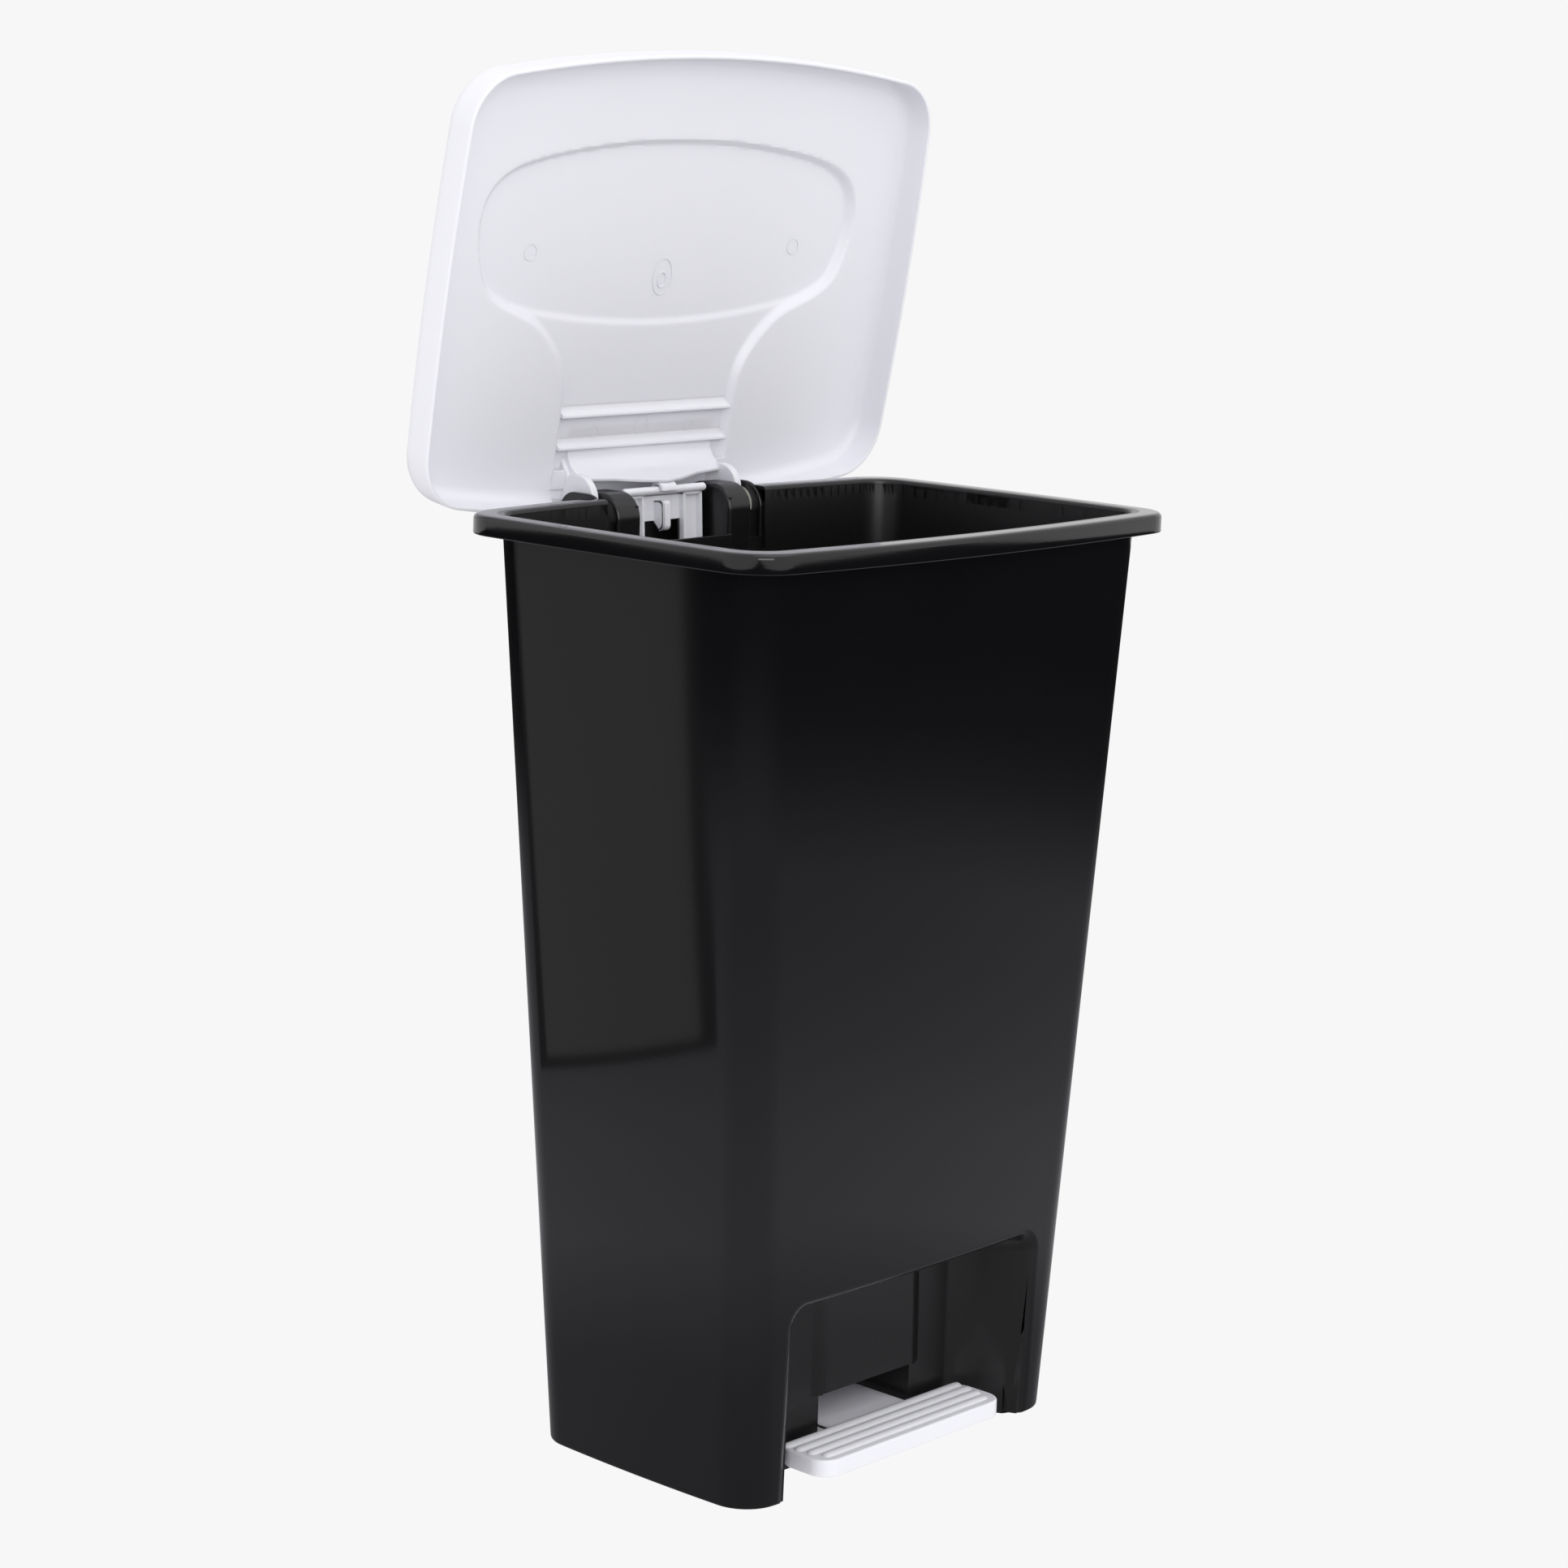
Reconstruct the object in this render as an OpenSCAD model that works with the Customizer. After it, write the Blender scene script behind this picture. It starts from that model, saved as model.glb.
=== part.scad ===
// Pedal bin with a hinged lid: a moulded body, a lid, a foot pedal and the rod that lifts the lid.
// Millimetres, +Z up, front and pedal towards -Y. The origin is on the floor under the middle of the body.
// The lid is drawn open, with the pedal down, which is the pose at joint value 0.

/* [Body] */
// Height of the rim above the floor
body_height = 600; // [520:1:720]
// Width over the rim
rim_width = 400; // [340:1:480]
// Depth over the rim
rim_depth = 280; // [250:1:336]
// Width of the body at the floor
base_width = 301; // [285:1:330]
// Depth of the body at the floor
base_depth = 194; // [185:1:215]
// How far the rim stands out from the wall
rim_overhang = 14.5; // [10:0.5:18]
// Height of the rim's turned-down band
rim_band = 12.5; // [9:0.5:16]
// Radius of the rim's corners
rim_corner_r = 32; // [26:1:45]
// Radius of the body's upright corners at the floor
base_corner_r = 26; // [18:1:34]
// How far the front and back swell out at the middle of the rim
front_swell = 9; // [4:0.5:12]
// How far the sides swell out
side_swell = 1.6; // [0.8:0.1:4]
// Wall thickness of the body
wall = 2.5; // [2:0.1:3]
// Height of the bin's floor above the ground
floor_height = 50; // [48:1:64]

/* [Pedal recess] */
// Width of the recess at the front face
recess_front_width = 224; // [212:1:240]
// Width of the recess at its back wall
recess_back_width = 184; // [180:1:196]
// Depth of the recess from the front face at the floor
recess_depth = 40; // [36:1:42]
// Height of the recess
recess_height = 125; // [100:1:150]
// Radius of the recess's back corners
recess_corner_r = 14; // [8:1:16]
// Radius of the recess's top corners in the front face
recess_top_r = 12; // [6:1:20]
// Width of the tunnel that the pedal's arm runs in
tunnel_width = 88; // [84:1:96]
// Height of the tunnel's mouth
tunnel_height = 44; // [42:1:46]

/* [Rear duct and hinge lugs] */
// Clear width of the duct for the lift rod
duct_width = 85; // [82:0.5:92]
// Clear depth of the duct
duct_depth = 36; // [32:0.5:40]
// Height of the hinge axis below the rim
hinge_drop = 13.5; // [11:0.5:15]
// Distance of the hinge axis behind the rim's back edge
hinge_setback = 3; // [2:0.5:5]
// Width of an inner lug
inner_lug_width = 19.8; // [16:0.1:24]
// Width of the slot that an ear of the lid turns in
ear_slot = 9.2; // [8:0.1:12]
// Thickness of an outer lug
outer_lug_width = 3.5; // [3:0.1:5]
// How far the lugs stand above the rim
lug_rise = 2.3; // [1:0.1:4]
// Radius of a hinge pin
hinge_pin_r = 12; // [9:0.1:12.5]

/* [Lid] */
// Width of the lid
lid_width = 427; // [368:1:510]
// Depth of the lid
lid_depth = 302; // [272:1:364]
// Height of the lid's skirt up to the plate's underside
lid_skirt = 22; // [20:0.5:26]
// Wall thickness of the lid
lid_wall = 2.6; // [2:0.1:3]
// Radius of the lid's corners
lid_corner_r = 38; // [28:1:48]
// How far the lid's front and back edges swell out
lid_front_swell = 13; // [5:0.5:14]
// How far the lid's sides swell out
lid_side_swell = 2.4; // [1:0.1:4]
// How far the mushroom-shaped panel is raised
panel_rise = 6; // [4:0.5:8]
// Angle of the open lid from level
open_angle = 80; // [76:0.5:84]

/* [Lift rod] */
// Radius of the rod's crossbar
bar_r = 2.75; // [2.4:0.05:3]
// Length of the crossbar
bar_length = 76; // [74:0.5:78]
// Width of one leg of the rod
leg_width = 17.8; // [14:0.1:18]
// Clear gap between the legs
leg_gap = 36.4; // [36:0.1:40]
// Depth of a leg
leg_depth = 6; // [5:0.1:7]
// Radius of the pin at the rod's foot
rod_pin_r = 2.5; // [2:0.1:3]

/* [Pedal] */
// Width of the tread
tread_width = 175; // [150:1:176]
// Depth of the tread
tread_depth = 42; // [36:1:44]
// Height of the tread without its ribs
tread_height = 11; // [9:0.5:13]
// Gap between the floor and the pressed tread
tread_clearance = 9.6; // [8:0.1:11]
// Width of the pedal's arm
arm_width = 73; // [60:1:76]
// Radius of the pedal's axle
axle_r = 3; // [2:0.1:3.6]

/* [Hidden] */
$fn = 64;
slab = 0.01;
cut = 1;
run_gap = 0.08;
side_steps = 12;
corner_steps = 8;

// Body, worked out from the sizes above.
top_width = rim_width - 2*rim_overhang;
top_depth = rim_depth - 2*rim_overhang;
top_corner_r = rim_corner_r - rim_overhang/2;
base_swell = 2.5;
floor_top = floor_height + wall;
back_slope = (top_depth - base_depth)/2/body_height;
front_face_y = -base_depth/2;
recess_back_y = front_face_y + recess_depth;

// Hinge line and lugs.
hinge_y = rim_depth/2 + hinge_setback;
hinge_z = body_height - hinge_drop;
lug_in = duct_width/2;
slot_in = lug_in + inner_lug_width;
slot_out = slot_in + ear_slot;
lug_out = slot_out + outer_lug_width;
lug_front_y = top_depth/2 - wall;
lug_back_y = top_depth/2 + duct_depth + wall;
lug_top_z = body_height + lug_rise;
lug_base_z = body_height - 42;
slot_floor_z = hinge_z - 20.5;
sill_z = body_height - 30;
lug_front_r = 17;
lug_back_r = 12;

// Lid, drawn level with the hinge axis at its origin.
skirt_z = 5.2;
plate_z = skirt_z + lid_skirt;
lid_back_y = 3;
ear_width = ear_slot - 3.6;
ear_in = slot_in + 1.6;
ear_r = 16.5;
neck_half = 79;
neck_start = 16;
head_width = 344;
head_depth = 121;
head_middle = 183;
head_corner_r = 42;
head_swell = 12;
neck_fillet = 45;
rib_places = [41, 62.5];

// Lift rod: where its crossbar and its foot are with the lid open.
bar_y = hinge_y + 0.5;
bar_z = hinge_z + 13.5;
axle_y = 50;
axle_z = 13;
foot_y = axle_y + 62;
foot_z = axle_z + 11;
rod_length = norm([bar_y - foot_y, bar_z - foot_z]);
rod_lean = atan2(bar_y - foot_y, bar_z - foot_z);
leg_sheet = 2.2;
leg_out = leg_gap/2 + leg_width;
eye_r = 6;
beam_half = leg_gap/2 - 2.2;

// Pedal.
tread_back_y = recess_back_y - 4.5;
tread_top_z = tread_clearance + tread_height;
tread_corner_r = 12;
hub_r = 7;
arm_top_z = tread_top_z - 0.6;
arm_sheet = 3.2;

// Colours.
black_plastic = [0.07, 0.07, 0.075];
white_plastic = [0.90, 0.90, 0.93];
pin_plastic = [0.74, 0.74, 0.70];
steel = [0.70, 0.71, 0.72];

function mix(a, b, t) = a + (b - a)*t;

function arc(c, r, a0, a1, n, first = 1) =
    [for (i = [first:n]) let (a = mix(a0, a1, i/n)) c + r*[cos(a), sin(a)]];

// Plan outline of a box with swelling sides and round corners.
function outline(w, d, r, front, side) =
    let (
        hx = w/2 - side - r,
        hy = d/2 - front - r,
        rf = (hx*hx + front*front)/(2*front),
        rs = (hy*hy + side*side)/(2*side),
        af = asin(hx/rf),
        as = asin(hy/rs),
        half = concat(
            arc([0, rf - hy - front], rf + r, -90, -90 + af, side_steps, 0),
            arc([hx, -hy], r, -90 + af, -as, corner_steps),
            arc([hx + side - rs, 0], rs + r, -as, as, side_steps),
            arc([hx, hy], r, as, 90 - af, corner_steps),
            arc([0, hy + front - rf], rf + r, 90 - af, 90, side_steps)
        )
    )
    concat(half, [for (i = [len(half) - 2:-1:1]) [-half[i].x, half[i].y]]);

// The body's outline at a height, drawn in by an inset.
function body_outline(z, inset) =
    let (t = z/body_height)
    outline(mix(base_width, top_width, t) - 2*inset, mix(base_depth, top_depth, t) - 2*inset,
            mix(base_corner_r, top_corner_r, t) - inset, mix(base_swell, front_swell, t), side_swell);

// One corner of a polygon, rounded.
function round_corner(a, b, c, r, n = 8) =
    r == 0 ? [b] :
    let (
        u = (a - b)/norm(a - b),
        v = (c - b)/norm(c - b),
        half = acos(u*v)/2,
        m = b + (u + v)/norm(u + v)*r/sin(half),
        p = b + u*r/tan(half) - m,
        q = b + v*r/tan(half) - m,
        a0 = atan2(p.y, p.x),
        raw = atan2(q.y, q.x) - a0,
        turn = raw > 180 ? raw - 360 : raw < -180 ? raw + 360 : raw
    )
    arc(m, r, a0, a0 + turn, n, 0);

function rounded(points, radii) =
    let (n = len(points))
    [for (i = [0:n - 1])
        each round_corner(points[(i + n - 1)%n], points[i], points[(i + 1)%n], radii[i])];

module slab_at(z, points) {
    translate([0, 0, z])
        linear_extrude(height = slab)
            polygon(points);
}

// A solid that tapers from one outline to another.
module taper(z0, points0, z1, points1) {
    hull() {
        slab_at(z0, points0);
        slab_at(z1 - slab, points1);
    }
}

// A profile in Y and Z, drawn out along X.
module along_x(x0, x1) {
    translate([x0, 0, 0])
        rotate([90, 0, 90])
            linear_extrude(height = x1 - x0)
                children();
}

module rod_x(x0, x1, y, z, r) {
    translate([x0, y, z])
        rotate([0, 90, 0])
            cylinder(h = x1 - x0, r = r);
}

module both_sides() {
    children();
    mirror([1, 0, 0])
        children();
}

module block(low, high) {
    translate(low)
        cube(high - low);
}

function back_wall_y(z) = base_depth/2 + back_slope*z;

// Plan of the pedal recess, grown by the wall for the plastic around it.
module recess_plan(grow) {
    front = front_face_y - 30;
    spread = (recess_front_width - recess_back_width)/2/recess_depth;
    half_front = recess_back_width/2 + spread*(recess_back_y - front) + grow;
    half_back = recess_back_width/2 + grow;
    polygon(rounded([[-half_front, front], [half_front, front],
                     [half_back, recess_back_y + grow], [-half_back, recess_back_y + grow]],
                    [0, 0, recess_corner_r + grow, recess_corner_r + grow]));
}

module recess_space(grow, z0) {
    intersection() {
        translate([0, 0, z0])
            linear_extrude(height = recess_height + grow - z0)
                recess_plan(grow);
        translate([0, 0, 0])
            rotate([90, 0, 0])
                translate([0, 0, -recess_back_y - grow - cut])
                    linear_extrude(height = base_depth)
                        polygon(rounded([[-base_width/2 - 20, -20], [base_width/2 + 20, -20],
                                         [recess_front_width/2 + 9 + grow, recess_height + grow],
                                         [-recess_front_width/2 - 9 - grow, recess_height + grow]],
                                        [0, 0, recess_top_r, recess_top_r]));
    }
}

// The rim: a flat top and a band turned down round its edge.
module rim() {
    difference() {
        translate([0, 0, body_height - rim_band])
            linear_extrude(height = rim_band)
                polygon(outline(rim_width, rim_depth, rim_corner_r, front_swell, side_swell));
        translate([0, 0, body_height - rim_band - cut])
            linear_extrude(height = rim_band - wall + cut)
                polygon(outline(rim_width - 2*wall, rim_depth - 2*wall, rim_corner_r - wall,
                                front_swell, side_swell));
    }
}

// Duct at the back that the lift rod runs in, sloping with the back wall.
module duct_profile(from, to, z0, z1) {
    polygon([[back_wall_y(z0) + from, z0], [back_wall_y(z0) + to, z0],
             [back_wall_y(z1) + to, z1], [back_wall_y(z1) + from, z1]]);
}

module lug_profile() {
    polygon(rounded([[lug_front_y, lug_base_z], [lug_back_y, lug_base_z],
                     [lug_back_y, lug_top_z], [lug_front_y, lug_top_z]],
                    [0, 0, lug_back_r, lug_front_r]));
}

// Hinge lugs at the top of the back wall.
module lugs() {
    both_sides() {
        along_x(lug_in, slot_in)
            lug_profile();
        along_x(slot_out, lug_out)
            lug_profile();
        block([slot_in - cut, lug_front_y, lug_base_z], [slot_out + cut, lug_back_y, slot_floor_z]);
    }
    block([-lug_in - cut, lug_front_y, lug_base_z], [lug_in + cut, lug_front_y + wall, sill_z]);
}

module body_shell() {
    difference() {
        union() {
            taper(0, body_outline(0, 0), body_height, body_outline(body_height, 0));
            rim();
        }
        taper(floor_top, body_outline(floor_top, wall),
              body_height + cut, body_outline(body_height + cut, wall));
        taper(-cut, body_outline(-cut, wall), floor_height, body_outline(floor_height, wall));
        block([-lug_out, lug_front_y - 5, lug_base_z], [lug_out, hinge_y + cut, body_height + cut]);
    }
}

// Walls of the recess, its proud middle panel, and the two ribs that make the tunnel.
module recess_walls() {
    intersection() {
        recess_space(wall, 0);
        taper(0, body_outline(0, 0.2), body_height, body_outline(body_height, 0.2));
    }
    both_sides() {
        block([tunnel_width/2, recess_back_y, 3],
              [tunnel_width/2 + wall, back_wall_y(0) - wall/2, floor_height + wall/2]);
    }
}

module middle_panel() {
    proud = 4;
    along_x(-tunnel_width/2 - wall, tunnel_width/2 + wall)
        polygon([[recess_back_y + wall/2, tunnel_height], [recess_back_y - proud, tunnel_height],
                 [recess_back_y - wall/2, recess_height - 6], [recess_back_y + wall/2, recess_height - 6]]);
}

module bin_body() {
    color(black_plastic)
        difference() {
            union() {
                difference() {
                    union() {
                        body_shell();
                        recess_walls();
                    }
                    recess_space(0, -cut);
                }
                middle_panel();
                along_x(-lug_in - wall, lug_in + wall)
                    duct_profile(-wall/2, duct_depth + wall, 0, body_height - 2);
                lugs();
            }
            along_x(-lug_in, lug_in)
                duct_profile(0, duct_depth, -cut, body_height + 8);
            block([-lug_in, lug_front_y - cut, sill_z], [lug_in, lug_front_y + wall + cut, lug_top_z + cut]);
            block([-lug_in, base_depth/2 - 12, -cut], [lug_in, base_depth/2 + 12, floor_height]);
            block([-tunnel_width/2, recess_back_y - 8, -cut], [tunnel_width/2, recess_back_y + 8, tunnel_height]);
            both_sides() {
                rod_x(slot_in - 5, lug_out + cut, hinge_y, hinge_z, hinge_pin_r);
                block([lug_in + wall, lug_front_y + wall, lug_base_z - cut],
                      [slot_in - wall, lug_back_y - wall, hinge_z - hinge_pin_r - wall]);
                rod_x(tunnel_width/2 - cut, tunnel_width/2 + wall + cut, axle_y, axle_z, axle_r);
            }
        }
}

module hinge_pin(side) {
    color(pin_plastic)
        mirror([side < 0 ? 1 : 0, 0, 0])
            difference() {
                rod_x(slot_in - 5, lug_out + 1.5, hinge_y, hinge_z, hinge_pin_r);
                rod_x(slot_in - 5 - cut, lug_out - 2, hinge_y, hinge_z, hinge_pin_r - 3);
            }
}

// Outline of the raised panel: a wide oval head on a neck that runs back to the hinge.
module mushroom(inset) {
    head_y = lid_back_y - head_middle;
    neck = neck_half - inset;
    bend = neck_fillet + inset;
    head_low = head_y + head_depth/2 - head_swell*0.55 - inset;
    translate([0, head_y])
        polygon(outline(head_width - 2*inset, head_depth - 2*inset, head_corner_r - inset, head_swell, 3));
    difference() {
        translate([-neck - bend, head_low - head_depth/3])
            square([2*(neck + bend), bend + head_depth/3]);
        translate([neck + bend, head_low + bend])
            circle(r = bend);
        translate([-neck - bend, head_low + bend])
            circle(r = bend);
    }
    translate([-neck, head_y])
        square([2*neck, -head_y + lid_back_y - neck_start - inset]);
}

function lid_outline(inset) =
    [for (p = outline(lid_width - 2*inset, lid_depth - 2*inset, lid_corner_r - inset,
                      lid_front_swell, lid_side_swell))
        [p.x, p.y + lid_back_y - lid_depth/2]];

// The lid as a solid bowl, drawn in by an inset; its top edge is rounded in two steps.
module lid_bowl(inset, bottom) {
    top_z = plate_z + lid_wall - inset;
    shoulder_z = top_z - 4;
    turn_z = top_z - 1.2;
    translate([0, 0, bottom])
        linear_extrude(height = shoulder_z - bottom)
            polygon(lid_outline(inset));
    taper(shoulder_z - 0.5, lid_outline(inset), turn_z, lid_outline(inset + 1.5));
    taper(turn_z - 0.2, lid_outline(inset + 1.5), top_z, lid_outline(inset + 4.5));
}

// Ear that carries the lid on a hinge pin.
module ear() {
    along_x(ear_in, ear_in + ear_width)
        hull() {
            circle(r = ear_r);
            translate([-8.4, 13.6])
                circle(r = 16);
            translate([-25, plate_z])
                square([9, panel_rise + cut]);
        }
}

// Beak under the neck, with the hook that the rod's crossbar lifts.
module beak() {
    local_bar_y = 0.5*cos(open_angle) - 13.5*sin(open_angle);
    local_bar_z = 0.5*sin(open_angle) + 13.5*cos(open_angle);
    hook_r = bar_r + 0.7;
    hook_wall = 2.4;
    face_y = local_bar_y - hook_r;
    beak_top_z = plate_z + panel_rise + cut;
    translate([0, face_y, 0])
        rotate([90, 0, 0])
            linear_extrude(height = hook_wall)
                polygon([[-8, local_bar_z - 3], [8, local_bar_z - 3], [lug_in - 3, 18], [ear_in + 1, 18],
                         [ear_in + 1, beak_top_z], [-ear_in - 1, beak_top_z],
                         [-ear_in - 1, 18], [-lug_in + 3, 18]]);
    difference() {
        rod_x(-7, 7, local_bar_y, local_bar_z, hook_r + hook_wall);
        rod_x(-8, 8, local_bar_y, local_bar_z, hook_r);
        block([-8, local_bar_y + 0.2, local_bar_z - 12], [8, local_bar_y + 12, local_bar_z + 12]);
    }
}

module lid_level() {
    difference() {
        union() {
            difference() {
                union() {
                    lid_bowl(0, skirt_z);
                    translate([0, 0, plate_z - 2])
                        linear_extrude(height = lid_wall + panel_rise + 2)
                            mushroom(0);
                }
                lid_bowl(lid_wall, skirt_z - cut);
                translate([0, 0, plate_z - 4])
                    linear_extrude(height = panel_rise + 4)
                        mushroom(lid_wall);
            }
            both_sides()
                ear();
            beak();
            for (place = rib_places)
                block([-neck_half + 1, lid_back_y - place - 1, plate_z + 2],
                      [neck_half - 1, lid_back_y - place + 1, plate_z + panel_rise + 1]);
        }
        both_sides()
            rod_x(ear_in - cut, ear_in + ear_width + cut, 0, 0, hinge_pin_r + run_gap);
        block([-neck_half - 1, -lid_front_swell, -20], [-ear_in - ear_width, lid_back_y + 5, plate_z]);
        block([ear_in + ear_width, -lid_front_swell, -20], [neck_half + 1, lid_back_y + 5, plate_z]);
        block([-ear_in, -8, -20], [ear_in, lid_back_y + 5, plate_z]);
    }
}

module lid() {
    color(white_plastic)
        translate([0, hinge_y, hinge_z])
            rotate([-open_angle, 0, 0])
                lid_level();
}

// The rod's frame: origin at its foot pin, length along +Z.
module in_rod_frame() {
    translate([0, foot_y, foot_z])
        rotate([-rod_lean, 0, 0])
            children();
}

module rod_leg() {
    difference() {
        union() {
            block([leg_gap/2, 0, -4], [leg_out, leg_depth, rod_length]);
            rod_x(leg_gap/2, leg_out, 0, 0, eye_r);
        }
        block([leg_gap/2 + leg_sheet, -eye_r - cut, -8],
              [leg_out - leg_sheet, leg_depth - leg_sheet, rod_length - 3]);
        rod_x(leg_gap/2 - cut, leg_out + cut, 0, 0, rod_pin_r);
    }
}

module lift_rod() {
    rungs = 4;
    rung_height = 10;
    panel_height = 28;
    panel_top = rod_length - bar_r - 1;
    bracket_top = rod_length - 7;
    color(white_plastic)
        in_rod_frame() {
            rod_x(-bar_length/2, bar_length/2, 0, rod_length, bar_r);
            both_sides()
                rod_leg();
            block([-leg_gap/2 - cut, leg_depth - leg_sheet, panel_top - panel_height],
                  [leg_gap/2 + cut, leg_depth, panel_top]);
            for (i = [1:rungs])
                block([-leg_gap/2 - cut, leg_depth - leg_sheet, rod_length*i/(rungs + 1) - rung_height/2],
                      [leg_gap/2 + cut, leg_depth, rod_length*i/(rungs + 1) + rung_height/2]);
            along_x(-1.2, 1.2)
                polygon(rounded([[-3.4, bracket_top - 20], [leg_depth - 1, bracket_top - 20],
                                 [leg_depth - 1, bracket_top], [-3.4, bracket_top]], [4, 0, 0, 3]));
            block([-4, -3.4, bracket_top - 17], [4, -1.4, bracket_top - 2]);
        }
}

module rod_pin() {
    color(steel)
        in_rod_frame() {
            rod_x(-leg_out - 1.2, leg_out + 1.2, 0, 0, rod_pin_r);
            rod_x(leg_out, leg_out + 2, 0, 0, rod_pin_r + 1.8);
            rod_x(-leg_out - 2, -leg_out, 0, 0, rod_pin_r + 1.8);
        }
}

module tread() {
    rib_count = 4;
    rib_pitch = 9.6;
    rib_r = 4.6;
    rib_show = 1.6;
    rib_length = tread_width - 18;
    middle_y = tread_back_y - tread_depth/2;
    difference() {
        translate([0, 0, tread_clearance])
            linear_extrude(height = tread_height)
                polygon(rounded([[-tread_width/2, tread_back_y - tread_depth],
                                 [tread_width/2, tread_back_y - tread_depth],
                                 [tread_width/2, tread_back_y], [-tread_width/2, tread_back_y]],
                                [tread_corner_r, tread_corner_r, tread_corner_r, tread_corner_r]));
        translate([0, 0, tread_clearance - cut])
            linear_extrude(height = tread_height - 3 + cut)
                polygon(rounded([[-tread_width/2 + 3, tread_back_y - tread_depth + 3],
                                 [tread_width/2 - 3, tread_back_y - tread_depth + 3],
                                 [tread_width/2 - 3, tread_back_y - 3], [-tread_width/2 + 3, tread_back_y - 3]],
                                [9, 9, 9, 9]));
    }
    intersection() {
        for (i = [0:rib_count - 1])
            rod_x(-rib_length/2, rib_length/2, middle_y + (i - (rib_count - 1)/2)*rib_pitch,
                  tread_top_z + rib_show - rib_r, rib_r);
        block([-tread_width/2, tread_back_y - tread_depth, tread_top_z - 1],
              [tread_width/2, tread_back_y, tread_top_z + rib_show]);
    }
}

module pedal() {
    plate_back = axle_y + 20;
    color(white_plastic)
        difference() {
            union() {
                tread();
                block([-arm_width/2, tread_back_y - 4, arm_top_z - arm_sheet],
                      [arm_width/2, plate_back, arm_top_z]);
                both_sides()
                    block([arm_width/2 - 3, tread_back_y - 3, tread_clearance],
                          [arm_width/2, plate_back, arm_top_z]);
                block([-arm_width/2, plate_back - 3, tread_clearance], [arm_width/2, plate_back, arm_top_z]);
                rod_x(-tunnel_width/2 + 0.6, tunnel_width/2 - 0.6, axle_y, axle_z, hub_r);
                along_x(-beam_half, beam_half)
                    polygon([[axle_y, 8], [plate_back, 8], [foot_y - 1, foot_z - eye_r],
                             [foot_y, foot_z + eye_r], [foot_y - 10, foot_z + eye_r],
                             [plate_back, arm_top_z], [axle_y, arm_top_z]]);
                rod_x(-beam_half, beam_half, foot_y, foot_z, eye_r);
            }
            rod_x(-tunnel_width/2, tunnel_width/2, axle_y, axle_z, axle_r + run_gap);
            rod_x(-tunnel_width/2, tunnel_width/2, foot_y, foot_z, rod_pin_r + run_gap);
        }
}

module pedal_axle() {
    color(steel)
        rod_x(-tunnel_width/2 - wall - 4, tunnel_width/2 + wall + 4, axle_y, axle_z, axle_r);
}

module axle_cap(side) {
    color(steel)
        mirror([side < 0 ? 1 : 0, 0, 0])
            difference() {
                rod_x(tunnel_width/2 + wall, tunnel_width/2 + wall + 5.5, axle_y, axle_z, axle_r + 3);
                rod_x(tunnel_width/2 + wall - cut, tunnel_width/2 + wall + 4, axle_y, axle_z, axle_r);
            }
}

bin_body();
lid();
hinge_pin(-1);  // hinge_pin_left
hinge_pin(1);  // hinge_pin_right
lift_rod();
rod_pin();
pedal();
pedal_axle();
axle_cap(-1);  // axle_cap_left
axle_cap(1);  // axle_cap_right
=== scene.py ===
import math

import bmesh
import bpy
import numpy as np
from mathutils import Matrix, Vector


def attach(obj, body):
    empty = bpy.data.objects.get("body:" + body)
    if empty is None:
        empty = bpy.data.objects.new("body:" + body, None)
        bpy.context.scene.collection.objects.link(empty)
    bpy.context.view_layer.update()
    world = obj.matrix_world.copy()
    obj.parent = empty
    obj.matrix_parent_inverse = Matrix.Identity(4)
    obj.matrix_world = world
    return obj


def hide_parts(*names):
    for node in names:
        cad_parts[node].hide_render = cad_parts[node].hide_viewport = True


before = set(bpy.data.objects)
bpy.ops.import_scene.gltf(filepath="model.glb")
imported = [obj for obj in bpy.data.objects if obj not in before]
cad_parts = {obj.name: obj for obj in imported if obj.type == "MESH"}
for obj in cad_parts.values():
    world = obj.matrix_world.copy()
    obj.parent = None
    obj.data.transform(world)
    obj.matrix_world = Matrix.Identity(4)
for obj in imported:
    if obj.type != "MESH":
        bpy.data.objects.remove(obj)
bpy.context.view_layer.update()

# ---- The tub ------------------------------------------------------------------------------------
# The bin itself is one black polypropylene moulding. Its walls taper to the floor and swell out a
# little, the rim is turned down round the top, and the front has a recess for the foot.
MM = 0.001
WALL = 2.5
RIM_TOP = 600.0
FLOOR_UNDER = 50.0
RECESS_BACK = -57.0
RECESS_TOP = 124.5
FRONT_STEPS, CORNER_STEPS, SIDE_STEPS = 24, 12, 20


def mix(a, b, t):
    return a + (b - a)*t


def arc(cx, cy, r, start, end, steps):
    a = np.linspace(start, end, steps + 1)[1:]
    return np.c_[cx + r*np.cos(a), cy + r*np.sin(a)]


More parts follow.
